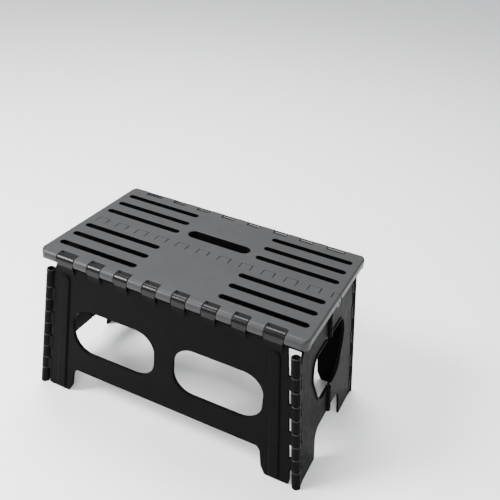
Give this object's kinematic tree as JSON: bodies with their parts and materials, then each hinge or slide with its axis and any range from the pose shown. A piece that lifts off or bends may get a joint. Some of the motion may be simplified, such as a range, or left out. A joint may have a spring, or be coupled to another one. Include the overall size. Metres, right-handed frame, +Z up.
{
  "type": "folding step stool",
  "caption": "Folding plastic step stool with a slotted split top, carrying slot, two windowed side panels and bifold end leaves on long knuckle hinges.",
  "frame": {"origin": "on the floor under the middle of the stool", "axes": "+Z up, +X along the stool, -Y towards the front side panel"},
  "size_m": [0.4398, 0.242, 0.247],
  "materials": {
    "top_grey": "satin moulded plastic, dark grey",
    "leg_black": "satin moulded plastic, black",
    "hinge_rod": "smooth plastic, black"
  },
  "bodies": {
    "front_side": {"front_panel": "leg_black", "front_hinge_rod": "hinge_rod", "left_front_corner_rod": "hinge_rod", "right_front_corner_rod": "hinge_rod"},
    "front_top": {"top_front": "top_grey", "centre_hinge_rod": "hinge_rod"},
    "rear_top": {"top_rear": "top_grey"},
    "rear_side": {"rear_panel": "leg_black", "rear_hinge_rod": "hinge_rod", "left_rear_corner_rod": "hinge_rod", "right_rear_corner_rod": "hinge_rod"},
    "left_front_wing": {"left_front_leaf": "leg_black", "left_lower_fold_pin": "hinge_rod", "left_upper_fold_pin": "hinge_rod"},
    "left_rear_wing": {"left_rear_leaf": "leg_black"},
    "right_front_wing": {"right_front_leaf": "leg_black", "right_lower_fold_pin": "hinge_rod", "right_upper_fold_pin": "hinge_rod"},
    "right_rear_wing": {"right_rear_leaf": "leg_black"}
  },
  "joints": [
    {"name": "fold", "type": "hinge", "parent": "front_side", "child": "front_top", "pos_m": [0, -0.113, 0.239], "axis": [1, 0, 0], "range_deg": [0, 82]},
    {"name": "centre_hinge", "type": "hinge", "parent": "front_top", "child": "rear_top", "pos_m": [0, 0, 0.2345], "axis": [1, 0, 0], "range_deg": [-164, 0]},
    {"name": "rear_hinge", "type": "hinge", "parent": "rear_top", "child": "rear_side", "pos_m": [0, 0.113, 0.239], "axis": [1, 0, 0], "range_deg": [0, 82]},
    {"name": "right_corner", "type": "hinge", "parent": "front_side", "child": "right_front_wing", "pos_m": [0.2135, -0.113, 0], "axis": [-0.1289, 0, 0.9917], "range_deg": [0, 82]},
    {"name": "right_end_fold", "type": "hinge", "parent": "right_front_wing", "child": "right_rear_wing", "pos_m": [0.21796, 0, 0.00058], "axis": [-0.1289, 0, 0.9917], "range_deg": [-164, 0]},
    {"name": "left_corner", "type": "hinge", "parent": "front_side", "child": "left_front_wing", "pos_m": [-0.2135, -0.113, 0], "axis": [0.1289, 0, 0.9917], "range_deg": [-82, 0]},
    {"name": "left_end_fold", "type": "hinge", "parent": "left_front_wing", "child": "left_rear_wing", "pos_m": [-0.21796, 0, 0.00058], "axis": [0.1289, 0, 0.9917], "range_deg": [0, 164]}
  ],
  "couplings": [
    {"joint": "centre_hinge", "follows": "fold", "ratio": -2},
    {"joint": "rear_hinge", "follows": "fold", "ratio": 1},
    {"joint": "right_corner", "follows": "fold", "ratio": 1},
    {"joint": "right_end_fold", "follows": "fold", "ratio": -2},
    {"joint": "left_corner", "follows": "fold", "ratio": -1},
    {"joint": "left_end_fold", "follows": "fold", "ratio": 2}
  ]
}
